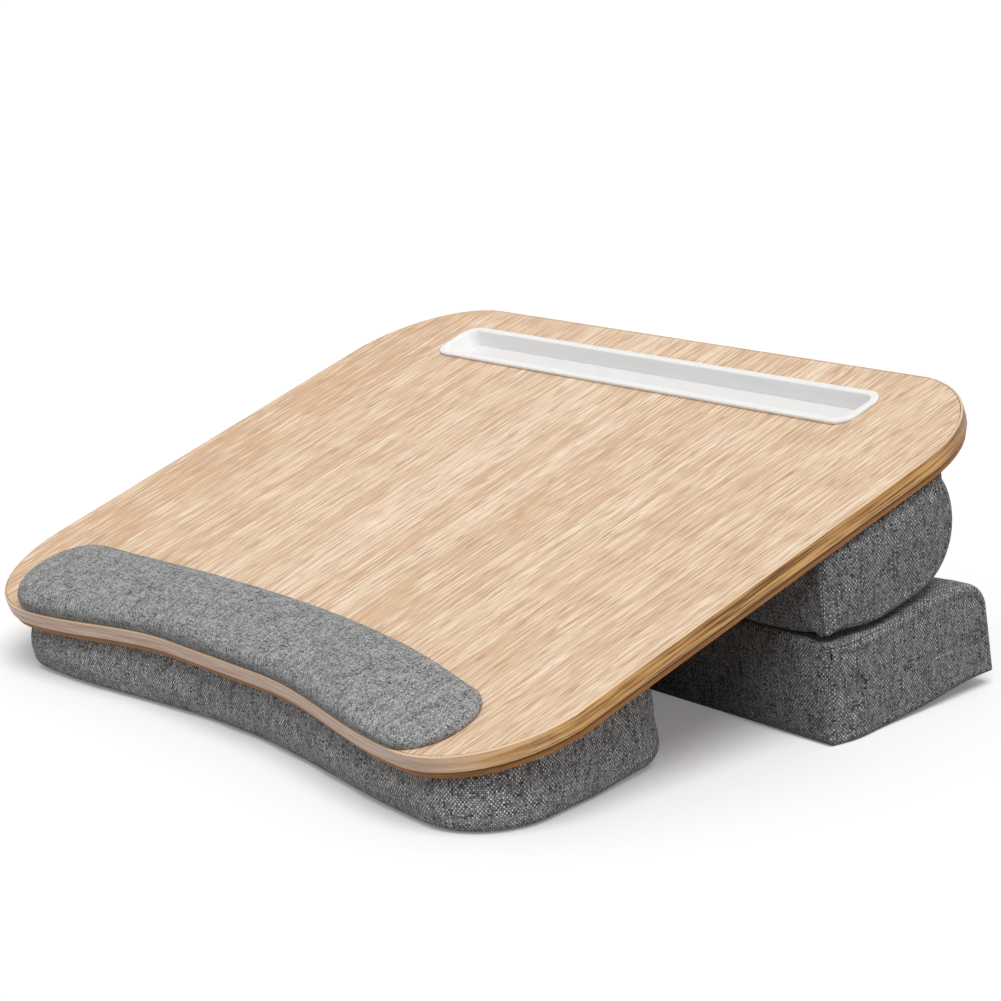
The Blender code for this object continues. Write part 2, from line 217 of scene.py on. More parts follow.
def make_key_light():
    data = bpy.data.lights.new("key", "SUN")
    data.energy = KEY_STRENGTH
    data.angle = KEY_WIDTH
    lamp = bpy.data.objects.new("key", data)
    lamp.rotation_euler = Vector(KEY_DIRECTION).to_track_quat("-Z", "Y").to_euler()
    bpy.context.scene.collection.objects.link(lamp)


def make_floor():
    material, tree, shader = new_material("studio_floor", 1.0, 0.0)
    seen = camera_only(tree)
    colour = mix_colour(tree, seen, (FLOOR_BOUNCE,) * 3, (FLOOR_WHITE,) * 3)
    tree.links.new(colour, shader.inputs["Base Color"])
    shader.inputs["Emission Color"].default_value = (1.0, 1.0, 1.0, 1.0)
    tree.links.new(mix_value(tree, seen, 0.0, FLOOR_GLOW), shader.inputs["Emission Strength"])
    work = bmesh.new()
    bmesh.ops.create_grid(work, x_segments=2, y_segments=2, size=FLOOR_SIZE)
    floor = place_mesh("floor", work, material)
    floor.location.z = -FLOOR_DROP


# Node helpers

def math_node(tree, operation, first, second=None, third=None):
    """A math node on sockets or numbers."""
    node = tree.nodes.new("ShaderNodeMath")
    node.operation = operation
    for socket, value in zip(node.inputs, (first, second, third)):
        feed(tree, socket, value)
    return node.outputs[0]


def feed(tree, socket, value):
    """Link a socket, or set a number or a vector."""
    if value is None:
        return
    if isinstance(value, bpy.types.NodeSocket):
        tree.links.new(value, socket)
    else:
        socket.default_value = value


def mix_value(tree, factor, first, second):
    node = tree.nodes.new("ShaderNodeMix")
    for socket, value in zip(node.inputs[:4], (factor, None, first, second)):
        feed(tree, socket, value)
    return node.outputs[0]


def mix_colour(tree, factor, first, second):
    """A mix of two colours, each a socket or a tuple of three numbers."""
    node = tree.nodes.new("ShaderNodeMix")
    node.data_type = "RGBA"
    feed(tree, node.inputs["Factor"], factor)
    feed(tree, node.inputs[6], (*first, 1.0) if isinstance(first, tuple) else first)
    feed(tree, node.inputs[7], (*second, 1.0) if isinstance(second, tuple) else second)
    return node.outputs[2]


def vector(tree, x, y, z=0.0):
    node = tree.nodes.new("ShaderNodeCombineXYZ")
    for socket, value in zip(node.inputs, (x, y, z)):
        feed(tree, socket, value)
    return node.outputs[0]


def split(tree, source):
    node = tree.nodes.new("ShaderNodeSeparateXYZ")
    tree.links.new(source, node.inputs[0])
    return node.outputs


def noise_at(tree, place, detail=2.0, roughness=0.5, distortion=0.0):
    """Noise of unit scale, so that the place alone says how fine it is."""
    node = tree.nodes.new("ShaderNodeTexNoise")
    node.inputs["Scale"].default_value = 1.0
    node.inputs["Detail"].default_value = detail
    node.inputs["Roughness"].default_value = roughness
    node.inputs["Distortion"].default_value = distortion
    tree.links.new(place, node.inputs["Vector"])
    return node.outputs["Fac"]


def ranged(tree, value, low, high, first=0.0, second=1.0):
    """A value stretched from one range to another, and held at its ends."""
    node = tree.nodes.new("ShaderNodeMapRange")
    for socket, number in zip(node.inputs, (value, low, high, first, second)):
        feed(tree, socket, number)
    return node.outputs[0]


def bump(tree, height, distance, strength):
    node = tree.nodes.new("ShaderNodeBump")
    node.inputs["Distance"].default_value = distance
    node.inputs["Strength"].default_value = strength
    tree.links.new(height, node.inputs["Height"])
    return node.outputs["Normal"]


def new_material(name, roughness, specular):
    material = bpy.data.materials.new(name)
    material.use_nodes = True
    shader = material.node_tree.nodes["Principled BSDF"]
    shader.inputs["Roughness"].default_value = roughness
    shader.inputs["Specular IOR Level"].default_value = specular
    return material, material.node_tree, shader


def board_axes(tree):
    """U, V and W of the point that is shaded."""
    place = tree.nodes.new("ShaderNodeTexCoord").outputs["Object"]
    move = tree.nodes.new("ShaderNodeVectorMath")
    move.operation = "SUBTRACT"
    tree.links.new(place, move.inputs[0])
    move.inputs[1].default_value = (0.0, FRONT_LINE, FRONT_HEIGHT)
    turn = tree.nodes.new("ShaderNodeVectorRotate")
    turn.rotation_type = "X_AXIS"
    turn.inputs["Angle"].default_value = -TILT
    tree.links.new(move.outputs[0], turn.inputs["Vector"])
    return split(tree, turn.outputs[0])


def stretched(tree, u, v, across, along, offset=0.0):
    """A place for noise, in cells per metre across and along the grain."""
    first = math_node(tree, "MULTIPLY_ADD", u, across, offset)
    return vector(tree, first, math_node(tree, "MULTIPLY", v, along))


def object_cells(tree, per_metre):
    """A place for noise that is as fine along every axis of the object."""
    scale = tree.nodes.new("ShaderNodeVectorMath")
    scale.operation = "SCALE"
    scale.inputs["Scale"].default_value = per_metre
    tree.links.new(tree.nodes.new("ShaderNodeTexCoord").outputs["Object"], scale.inputs[0])
    return scale.outputs[0]


# Wood

def strip_tone(tree, across, per_metre):
    """A random tone for each strip of veneer."""
    random = tree.nodes.new("ShaderNodeTexWhiteNoise")
    random.noise_dimensions = "1D"
    strip = math_node(tree, "FLOOR", math_node(tree, "MULTIPLY", across, per_metre))
    tree.links.new(strip, random.inputs["W"])
    return random.outputs["Value"]


def oak_top():
    """Light oak laminate: strips of several tones, fine grain and pores along V."""
    material, tree, shader = new_material("oak_top", 0.42, 0.4)
    u, v, _ = board_axes(tree)
    sway = noise_at(tree, stretched(tree, u, v, 9.0, 2.0), 1.0)
    bent = math_node(tree, "MULTIPLY_ADD", sway, 0.010, u)
    wide = strip_tone(tree, bent, 42.0)
    narrow = strip_tone(tree, bent, 150.0)
    left = ranged(tree, u, -0.18, 0.02, 0.28, 0.0)
    tone = math_node(tree, "MULTIPLY_ADD", wide, 0.50, left)
    tone = math_node(tree, "MULTIPLY_ADD", narrow, 0.50, tone)
    rings = noise_at(tree, stretched(tree, bent, v, 210.0, 2.2, offset=7.0), 2.0, 0.6, 0.3)
    fibre = noise_at(tree, stretched(tree, u, v, 820.0, 24.0), 3.0, 0.65)
    fleck = noise_at(tree, stretched(tree, u, v, 640.0, 34.0, offset=31.0), 1.0)
    pore = noise_at(tree, stretched(tree, u, v, 1150.0, 70.0, offset=3.0), 1.0)
    colour = mix_colour(tree, ranged(tree, tone, 0.15, 0.95), (0.90, 0.72, 0.53), (0.73, 0.48, 0.29))
    rings = ranged(tree, rings, 0.52, 0.60, 0.0, 0.45)
    colour = mix_colour(tree, rings, colour, (0.62, 0.38, 0.21))
    colour = mix_colour(tree, ranged(tree, fibre, 0.38, 0.53, 0.85, 0.0), colour, (0.54, 0.32, 0.18))
    colour = mix_colour(tree, ranged(tree, fleck, 0.55, 0.63, 0.0, 0.70), colour, (0.95, 0.80, 0.61))
    pores = ranged(tree, pore, 0.57, 0.65, 0.0, 0.6)
    colour = mix_colour(tree, pores, colour, (0.42, 0.24, 0.13))
    tree.links.new(colour, shader.inputs["Base Color"])
    tree.links.new(ranged(tree, fibre, 0.3, 0.7, 0.38, 0.50), shader.inputs["Roughness"])
    height = math_node(tree, "SUBTRACT", fibre, pores)
    tree.links.new(bump(tree, height, 0.00012, 0.5), shader.inputs["Normal"])
    return material


def oak_edge():
    """Edging with grain along it, with painted light and shade by the way it faces: pinkish and light
    in front, tan round the corners, dark brown at the sides.
    """
    material, tree, shader = new_material("oak_edge", 0.40, 0.4)
    u, v, w = board_axes(tree)
    # Painted light and shade: the edging's colours follow the way each face turns, lighter in front and
    # darker at the sides.
    facing = split(tree, tree.nodes.new("ShaderNodeNewGeometry").outputs["Normal"])
    front = ranged(tree, facing[1], -0.94, -0.70, 1.0, 0.0)
    side = ranged(tree, facing[1], -0.72, -0.15)
    along = math_node(tree, "MULTIPLY", math_node(tree, "ADD", u, v), 26.0)
    beside = math_node(tree, "MULTIPLY", math_node(tree, "SUBTRACT", u, v), 9.0)
    streak = vector(tree, along, beside, math_node(tree, "MULTIPLY", w, 900.0))
    streak = noise_at(tree, streak, 3.0, 0.6)
    broad = vector(tree, beside, along, math_node(tree, "MULTIPLY", w, 260.0))
    broad = noise_at(tree, broad, 2.0, 0.6)
    light = mix_colour(tree, side, (0.98, 0.67, 0.375), (0.80, 0.44, 0.145))
    light = mix_colour(tree, front, light, (0.95, 0.71, 0.56))
    dark = mix_colour(tree, side, (0.76, 0.40, 0.155), (0.17, 0.056, 0.012))
    dark = mix_colour(tree, front, dark, (0.72, 0.46, 0.33))
    colour = mix_colour(tree, ranged(tree, streak, 0.42, 0.62), light, dark)
    colour = mix_colour(tree, ranged(tree, broad, 0.52, 0.66, 0.0, 0.6), colour, dark)
    # Painted highlight: a lighter cream line along the rounded top arris of the edging.
    arris_highlight = ranged(tree, w, -0.0010, -0.0002)
    colour = mix_colour(tree, math_node(tree, "MULTIPLY", arris_highlight, 0.75), colour, (0.88, 0.66, 0.44))
    foot = ranged(tree, w, -0.0070, -0.0078, 0.0, 0.55)
    colour = mix_colour(tree, foot, colour, (0.80, 0.60, 0.44))
    tree.links.new(colour, shader.inputs["Base Color"])
    tree.links.new(ranged(tree, streak, 0.3, 0.7, 0.36, 0.48), shader.inputs["Roughness"])
    tree.links.new(bump(tree, streak, 0.00010, 0.4), shader.inputs["Normal"])
    return material


def brown_board():
    """Thin fibreboard stained red brown, with a painted shadow line where it meets the board above."""
    material, tree, shader = new_material("base_board", 0.55, 0.35)
    u, v, w = board_axes(tree)
    along = math_node(tree, "MULTIPLY", math_node(tree, "ADD", u, v), 60.0)
    fine = noise_at(tree, vector(tree, along, math_node(tree, "MULTIPLY", u, 60.0),
                                 math_node(tree, "MULTIPLY", w, 1500.0)), 3.0, 0.6)
    cloud = noise_at(tree, stretched(tree, u, v, 30.0, 30.0), 2.0)
    fibre = ranged(tree, fine, 0.35, 0.65)
    colour = mix_colour(tree, fibre, (0.48, 0.20, 0.048), (0.27, 0.095, 0.020))
    colour = mix_colour(tree, ranged(tree, cloud, 0.3, 0.7, 0.0, 0.4), colour, (0.54, 0.25, 0.075))
    # Painted shadow: a near black line along the top, where the base panel meets the board above.
    joint_shadow = ranged(tree, w, -0.0096, -0.0086, 0.0, 0.9)
    colour = mix_colour(tree, joint_shadow, colour, (0.030, 0.012, 0.005))
    tree.links.new(colour, shader.inputs["Base Color"])
    tree.links.new(bump(tree, fine, 0.0001, 0.4), shader.inputs["Normal"])
    return material


def tray_plastic():
    """Moulded white plastic with a very fine grain on it, painted a darker grey on the pocket's floor
    as shade in the recess.
    """
    material, tree, shader = new_material("white_plastic", 0.32, 0.5)
    grain = noise_at(tree, object_cells(tree, 2200.0))
    _, _, w = board_axes(tree)
    # Painted shade: the pocket's floor is a darker grey than its walls and rim.
    floor = ranged(tree, w, -0.0064, -0.0060, 1.0, 0.0)
    colour = mix_colour(tree, floor, (0.99, 0.985, 0.98), (0.86, 0.85, 0.835))
    tree.links.new(colour, shader.inputs["Base Color"])
    shader.inputs["Subsurface Weight"].default_value = 0.6
    shader.inputs["Subsurface Radius"].default_value = (1.0, 1.0, 1.0)
    shader.inputs["Subsurface Scale"].default_value = 0.004
    tree.links.new(ranged(tree, grain, 0.3, 0.7, 0.28, 0.42), shader.inputs["Roughness"])
    tree.links.new(bump(tree, grain, 0.00004, 0.5), shader.inputs["Normal"])
    return material


# Cloth

def yarn_tone(tree, index, along, seed):
    """The tone of one yarn, which drifts along it in slubs."""
    first = math_node(tree, "MULTIPLY_ADD", index, 3.71, seed)
    slub = noise_at(tree, vector(tree, first, math_node(tree, "MULTIPLY", along, 0.09)), 1.0)
    fleck = noise_at(tree, vector(tree, math_node(tree, "ADD", first, 61.0),
                                  math_node(tree, "MULTIPLY", along, 0.40)), 0.0)
    return math_node(tree, "MULTIPLY_ADD", fleck, 0.5, math_node(tree, "MULTIPLY", slub, 0.5))


def bulge(tree, fraction):
    """Zero at a yarn's edges and one along its middle."""
    return math_node(tree, "MULTIPLY", math_node(tree, "MULTIPLY", fraction, 4.0),
                     math_node(tree, "SUBTRACT", 1.0, fraction))


def weave(name, level, heather, relief_shade, check, coordinates=None):
    """Plain weave of slub yarns, with light warp over dark weft, painted shade in the gaps between them
    and painted light on their crowns.
    """
    material, tree, shader = new_material(name, 0.92, 0.25)
    if coordinates is None:
        source = tree.nodes.new("ShaderNodeUVMap")
        source.uv_map = "cloth"
        coordinates = source.outputs[0]
    else:
        coordinates = tree.nodes.new("ShaderNodeTexCoord").outputs[coordinates]
    x, y, _ = split(tree, coordinates)
    cloud = noise_at(tree, stretched(tree, x, y, 160.0, 160.0))
    sway = math_node(tree, "MULTIPLY_ADD", cloud, 0.5, 10000.0)
    a = math_node(tree, "MULTIPLY_ADD", x, 1.0 / WARP_PITCH, sway)
    b = math_node(tree, "MULTIPLY_ADD", y, 1.0 / WEFT_PITCH, sway)
    i = math_node(tree, "FLOOR", a)
    j = math_node(tree, "FLOOR", b)
    over = math_node(tree, "PINGPONG", math_node(tree, "ADD", i, j), 1.0)
    warp = yarn_tone(tree, i, b, 0.0)
    weft = yarn_tone(tree, j, a, 500.0)
    tone = mix_value(tree, over, weft, warp)
    across = bulge(tree, math_node(tree, "FRACT", a))
    along = bulge(tree, math_node(tree, "FRACT", b))
    narrow = mix_value(tree, over, along, across)
    long = mix_value(tree, over, across, along)
    height = math_node(tree, "MULTIPLY_ADD", narrow, 0.6, math_node(tree, "MULTIPLY", long, 0.4))
    tone = math_node(tree, "MULTIPLY_ADD", cloud, 0.16, math_node(tree, "SUBTRACT", tone, 0.08))
    light = ranged(tree, tone, 0.34, 0.66, 1.0 - heather, 1.0 + heather)
    # Painted shade and light: darker in the gaps between yarns and lighter on their crowns, following
    # their height.
    shade = ranged(tree, height, 0.12, 0.85, 1.0 - relief_shade, 1.0 + 0.45 * relief_shade)
    shade = math_node(tree, "MULTIPLY", shade, mix_value(tree, over, 1.0 - check, 1.0 + check))
    value = math_node(tree, "MULTIPLY", math_node(tree, "MULTIPLY", light, shade), level)
    green = math_node(tree, "MULTIPLY_ADD", value, 0.985, 0.001)
    blue = math_node(tree, "MULTIPLY_ADD", value, 0.97, 0.006)
    colour = tree.nodes.new("ShaderNodeCombineColor")
    for socket, channel in zip(colour.inputs, (value, green, blue)):
        tree.links.new(channel, socket)
    tree.links.new(colour.outputs[0], shader.inputs["Base Color"])
    shader.inputs["Sheen Weight"].default_value = 0.12
    shader.inputs["Sheen Roughness"].default_value = 0.5
    tree.links.new(bump(tree, height, 0.00035, 0.7), shader.inputs["Normal"])
    return material


def seam_thread():
    """The sewing thread of the seams: twisted grey yarn."""
    material, tree, shader = new_material("seam_thread", 0.8, 0.3)
    grain = noise_at(tree, object_cells(tree, 900.0), 1.0)
    twist = ranged(tree, grain, 0.35, 0.65)
    colour = mix_colour(tree, twist, (0.09, 0.09, 0.095), (0.23, 0.23, 0.235))
    tree.links.new(colour, shader.inputs["Base Color"])
    tree.links.new(bump(tree, grain, 0.0001, 0.6), shader.inputs["Normal"])
    return material


# Shapes

def in_board(u, v, w):
    """A point given in the board's axes."""
    return Vector((u, FRONT_LINE + v * math.cos(TILT) - w * math.sin(TILT),
                   FRONT_HEIGHT + v * math.sin(TILT) + w * math.cos(TILT)))


def underside(y, w=CUSHION_TOP - CLEARANCE):
    """Height of a plane of the board above a level distance from the front line."""
    v = (y + w * math.sin(TILT)) / math.cos(TILT)
    return FRONT_HEIGHT + v * math.sin(TILT) + w * math.cos(TILT)


def smooth_step(t):
    t = min(max(t, 0.0), 1.0)
    return t * t * (3.0 - 2.0 * t)


def front_edge(u, lobe, flat=DIP_FLAT):
    """How far the front edge lies behind its lobes."""
    return FRONT_DIP * (1.0 - smooth_step((abs(u) - flat) / (lobe - flat)))


def steps(start, end, count):
    """Evenly spaced values from start to end, both included."""
    return [start + (end - start) * i / count for i in range(count + 1)]


def arc(centre, radius, start, end, count):
    """Points on an arc between two angles in degrees, both ends included."""
    turns = [math.radians(turn) for turn in steps(start, end, count)]
    return [(centre[0] + radius * math.cos(t), centre[1] + radius * math.sin(t)) for t in turns]


def even(points, spacing):
    """A closed outline resampled at an even spacing."""
    loop = [Vector(p) for p in points]
    loop.append(loop[0])
    lengths = [(loop[i + 1] - loop[i]).length for i in range(len(loop) - 1)]
    count = max(int(sum(lengths) / spacing), 8)
    step = sum(lengths) / count
    result, covered, i = [], 0.0, 0
    for k in range(count):
        goal = k * step
        while covered + lengths[i] < goal:
            covered += lengths[i]
            i += 1
        result.append(loop[i].lerp(loop[i + 1], (goal - covered) / lengths[i]))
    return result


def normals(points):
    """Outward directions of a closed counter-clockwise outline."""
    count = len(points)
    result = []
    for i in range(count):
        along = (points[(i + 1) % count] - points[i - 1]).normalized()
        result.append(Vector((along.y, -along.x)))
    return result


def walked(points):
    """Distances along a closed outline, with the whole length at the end."""
    total = [0.0]
    for i in range(len(points)):
        total.append(total[-1] + (points[(i + 1) % len(points)] - points[i]).length)
    return total


def place_mesh(name, work, material):
    """An object of the scene made from the mesh in work."""
    mesh = bpy.data.meshes.new(name)
    work.to_mesh(mesh)
    work.free()
    mesh.materials.append(material)
    item = bpy.data.objects.new(name, mesh)
    bpy.context.scene.collection.objects.link(item)
    return item


def stuff(item, held):
    """Let cloth physics fill a skin: points move a little way at most, and held ones stay."""
    group = item.vertex_groups.new(name="held")
    for vertex in item.data.vertices:
        group.add([vertex.index], held(vertex.co), "REPLACE")
    modifier = item.modifiers.new("stuffing", "CLOTH")
    cloth = modifier.settings
    cloth.quality = 4
    cloth.mass = 0.25
    cloth.vertex_group_mass = group.name
    cloth.use_pressure = True
    cloth.uniform_pressure_force = STUFFING_PRESSURE
    cloth.shrink_min = -STUFFING_EASE
    cloth.effector_weights.gravity = 0.0
    modifier.collision_settings.use_collision = False
    modifier.point_cache.frame_end = STUFFING_FRAMES
    for step in range(1, STUFFING_FRAMES + 1):
        bpy.context.scene.frame_set(step)
    filled = item.evaluated_get(bpy.context.evaluated_depsgraph_get())
    pairs = zip(item.data.vertices, filled.data.vertices)
    moves = [after.co - before.co for before, after in pairs]
    item.modifiers.remove(modifier)
    item.vertex_groups.remove(group)
    moves = [move * min(1.0, STUFFING_REACH / max(move.length, 1e-9)) for move in moves]
    for _ in range(STUFFING_EVENING):
        moves = evened(item.data, moves)
    for vertex, move in zip(item.data.vertices, moves):
        vertex.co += move * (1.0 - held(vertex.co))
    bpy.context.scene.frame_set(1)


def evened(mesh, moves):
    """Moves blended with those of the neighbours, so that tight spots don't crease."""
    sums = [move.copy() for move in moves]
    counts = [1] * len(moves)
    for edge in mesh.edges:
        first, second = edge.vertices
        sums[first] += moves[second]
        sums[second] += moves[first]
        counts[first] += 1
        counts[second] += 1
    return [total / count for total, count in zip(sums, counts)]


def skin(name, bands, caps, material, cad_nodes, held):
    """A closed skin: bands are rings of points with their places on the flat cloth, caps close it."""
    work = bmesh.new()
    layer = work.loops.layers.uv.new("cloth")
    for rings, flat in bands:
        rows = [[work.verts.new(point) for point in ring] for ring in rings]
        count = len(rings[0])
        for k in range(len(rows) - 1):
            for i in range(count):
                j = (i + 1) % count
                face = work.faces.new((rows[k][i], rows[k][j], rows[k + 1][j], rows[k + 1][i]))
                spots = (flat[k][i], flat[k][i + 1], flat[k + 1][i + 1], flat[k + 1][i])
                for loop, spot in zip(face.loops, spots):
                    loop[layer].uv = spot
    for ring, spots in caps:
        face = work.faces.new([work.verts.new(point) for point in ring])
        for loop, spot in zip(face.loops, spots):
            loop[layer].uv = spot
    bmesh.ops.remove_doubles(work, verts=work.verts, dist=MERGE_DISTANCE)
    bmesh.ops.triangulate(work, faces=[face for face in work.faces if len(face.verts) > 4])
    bmesh.ops.recalc_face_normals(work, faces=work.faces)
    item = place_mesh(name, work, material)
    item.data.shade_smooth()
    stuff(item, held)
    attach(item, "root")
    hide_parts(*cad_nodes)
    return item


def closed(flat_ring):
    """A ring of flat places with its first one again at the end."""
    return flat_ring + flat_ring[:1]


def on_board(point):
    """One where a cushion meets the board and nought from a reach below it."""
    plane = underside(point.y - FRONT_LINE, CUSHION_TOP)
    return smooth_step((point.z - plane + HOLD_REACH) / HOLD_REACH)


def off_floor(z):
    """Nought on the floor and one from a reach above it."""
    return smooth_step((z - HOLD_START) / HOLD_REACH)


def rest_held(point):
    """The wrist rest's cloth is held where it meets the board, and its foam holds the rest a little."""
    height = (point.z - FRONT_HEIGHT) * math.cos(TILT) - (point.y - FRONT_LINE) * math.sin(TILT)
    return max(REST_HOLD, 1.0 - smooth_step((height - REST_TUCK) / HOLD_REACH))


def front_held(point):
    """The front cushion's cloth is held at the board and by the floor."""
    return max(on_board(point), 1.0 - off_floor(point.z))


def end_seam(point, taper):
    """One at the seams of the two end panels."""
    from_seam = abs(abs(point.x) - REAR_WIDTH / 2 * taper(point.y - FRONT_LINE))
    return 1.0 - smooth_step((from_seam - 0.0008) / 0.0040)


def upper_held(point):
    """The upper cushion's cloth is held at the board, by its seams and on the fold."""
    fold = 1.0 - smooth_step((point.z - UPPER_BOTTOM - HOLD_START) / FOLD_REACH)
    return max(on_board(point), fold, SEAM_HOLD * end_seam(point, upper_taper))


def lower_held(point):
    """The lower cushion's cloth is held by its seams, by the floor and under the fold."""
    fold = smooth_step((point.z - LOWER_HEIGHT + FOLD_REACH) / 0.003)
    fold *= smooth_step((FRONT_LINE + REAR_FRONT + FOLD_SPAN - point.y) / 0.008)
    return max(1.0 - off_floor(point.z), fold, SEAM_HOLD * end_seam(point, lower_taper))


def wander(x, y, z, cell, amount):
    """Slow unevenness of stuffed cloth."""
    return amount * noise.noise(Vector((x, y, z)) / cell)


# Wrist rest

def rest_outline():
    right_lobe = REST_RIGHT_END - REST_FRONT_CORNER
    left_lobe = REST_FRONT_LEFT_CORNER - REST_LEFT_END
    right = REST_RIGHT_END - REST_RIGHT_CORNER
    left = REST_LEFT_CORNER - REST_LEFT_END
    board_lobe = BOARD_WIDTH / 2 - FRONT_CORNER
    front_left = (left_lobe, REST_SETBACK + REST_FRONT_LEFT_CORNER)
    points = [(u, REST_SETBACK + front_edge(u, board_lobe)) for u in steps(left_lobe, right_lobe, 90)]
    points += arc((right_lobe, REST_SETBACK + REST_FRONT_CORNER), REST_FRONT_CORNER, -90, 0, 14)
    points += arc((right, REST_RIGHT_DEPTH - REST_RIGHT_CORNER), REST_RIGHT_CORNER, 0, 90, 14)
    points += [(u, rest_rear(u)) for u in steps(right, left, 90)[1:-1]]
    points += arc((left, REST_LEFT_DEPTH - REST_LEFT_CORNER), REST_LEFT_CORNER, 90, 180, 14)
    points += arc(front_left, REST_FRONT_LEFT_CORNER, 180, 270, 14)[:-1]
    return even(points, REST_SPACING)


def rest_rear(u):
    """The wrist rest's rear edge, bowed between the depths of its two ends."""
    end, reach = REST_LEFT_DEPTH, REST_LEFT_END - REST_LEFT_CORNER
    if u > 0:
        end, reach = REST_RIGHT_DEPTH, REST_RIGHT_END - REST_RIGHT_CORNER
    return end + (REST_MIDDLE_DEPTH - end) * (1.0 - min(1.0, abs(u) / reach) ** REST_BOW)


def rest_middle(point):
    """The wrist rest's middle line, towards which its top closes."""
    u = min(max(point[0], REST_SPINE_END - REST_LEFT_END), REST_RIGHT_END - REST_SPINE_END)
    front = REST_SETBACK + front_edge(u, BOARD_WIDTH / 2 - FRONT_CORNER)
    return Vector((u, (front + rest_rear(u)) / 2))


def make_wrist_rest(material):
    outline = rest_outline()
    outward = normals(outline)
    section = [(REST_TUCK * (1.0 - math.sin(t)), REST_LAY + REST_FOOT * (1.0 - math.cos(t)))
               for t in steps(0.0, math.pi / 2, 4)]
    foot = REST_LAY + REST_FOOT
    for t in steps(0.0, math.pi / 2, 12)[1:]:
        section.append((REST_SHOULDER * (1.0 - math.cos(t) ** (2.0 / REST_FULLNESS)),
                        foot + (REST_HEIGHT - foot) * math.sin(t) ** (2.0 / REST_FULLNESS)))
    lengths = [0.0]
    for first, second in zip(section, section[1:]):
        lengths.append(lengths[-1] + math.dist(first, second))
    rings, flat = [], []
    for (inset_by, height), length in zip(section, lengths):
        spread = REST_SHOULDER - (lengths[-1] - length)
        rings.append([rest_point(p - n * inset_by, height) for p, n in zip(outline, outward)])
        flat.append(closed([tuple(p - n * spread) for p, n in zip(outline, outward)]))
    shoulder = [p - n * REST_SHOULDER for p, n in zip(outline, outward)]
    for t in steps(0.0, CAP_FROM, 9)[1:]:
        ring = [p.lerp(rest_middle(p), t) for p in shoulder]
        height = REST_HEIGHT + REST_CROWN * (1.0 - (1.0 - t) ** 2)
        rings.append([rest_point(p, height) for p in ring])
        flat.append(closed([tuple(p) for p in ring]))
    base = [[p - n * REST_TUCK for p, n in zip(outline, outward)]]
    base.insert(0, [p.lerp(rest_middle(p), CAP_FROM) for p in base[0]])
    under = [[in_board(p.x, p.y, REST_LAY) for p in ring] for ring in base]
    under_flat = [closed([tuple(p) for p in ring]) for ring in base]
    caps = [(under[0], under_flat[0]), (rings[-1], flat[-1])]
    return skin("wrist_rest", [(under, under_flat), (rings, flat)], caps, material,
                ("wrist_rest_cover", "wrist_rest_foam"), rest_held)


def rest_point(place, height):
    """A point of the wrist rest's cloth: lower towards its ends, and a little uneven."""
    fall = REST_RIGHT_FALL if place[0] > 0 else REST_LEFT_FALL
    towards_end = (abs(place[0]) - REST_FALL_FROM) / (REST_RIGHT_END - REST_FALL_FROM)
    height *= 1.0 - fall * smooth_step(towards_end)
    uneven = wander(place[0], place[1], 0.0, 0.035, 0.0003) * smooth_step(height / REST_HEIGHT)
    return in_board(place[0], place[1], height + uneven)


# Front cushion

def tangent_angle(first, first_radius, second, second_radius):
    """Where a straight side leaves one corner's arc and meets the next one's, in degrees."""
    between = Vector(second) - Vector(first)
    turn = math.acos((first_radius - second_radius) / between.length)
    return math.degrees(math.atan2(between.y, between.x) - turn)


def front_cushion_outline():
    lobe = FRONT_WIDTH / 2 - FRONT_LOBE_CORNER
    front = (lobe, FRONT_SETBACK + FRONT_LOBE_CORNER)
    rear = (FRONT_REAR_WIDTH / 2 - FRONT_REAR_CORNER, FRONT_REAR - FRONT_REAR_CORNER)
    side = tangent_angle(front, FRONT_LOBE_CORNER, rear, FRONT_REAR_CORNER)
    points = [(x, FRONT_SETBACK + front_edge(x, lobe, FRONT_DIP_FLAT))
              for x in steps(-lobe, lobe, 80)[1:-1]]
    right = arc(front, FRONT_LOBE_CORNER, -90, side, 16) + arc(rear, FRONT_REAR_CORNER, side, 90, 10)
    return even(points + right + [(-x, y) for x, y in reversed(right)], CUSHION_SPACING)


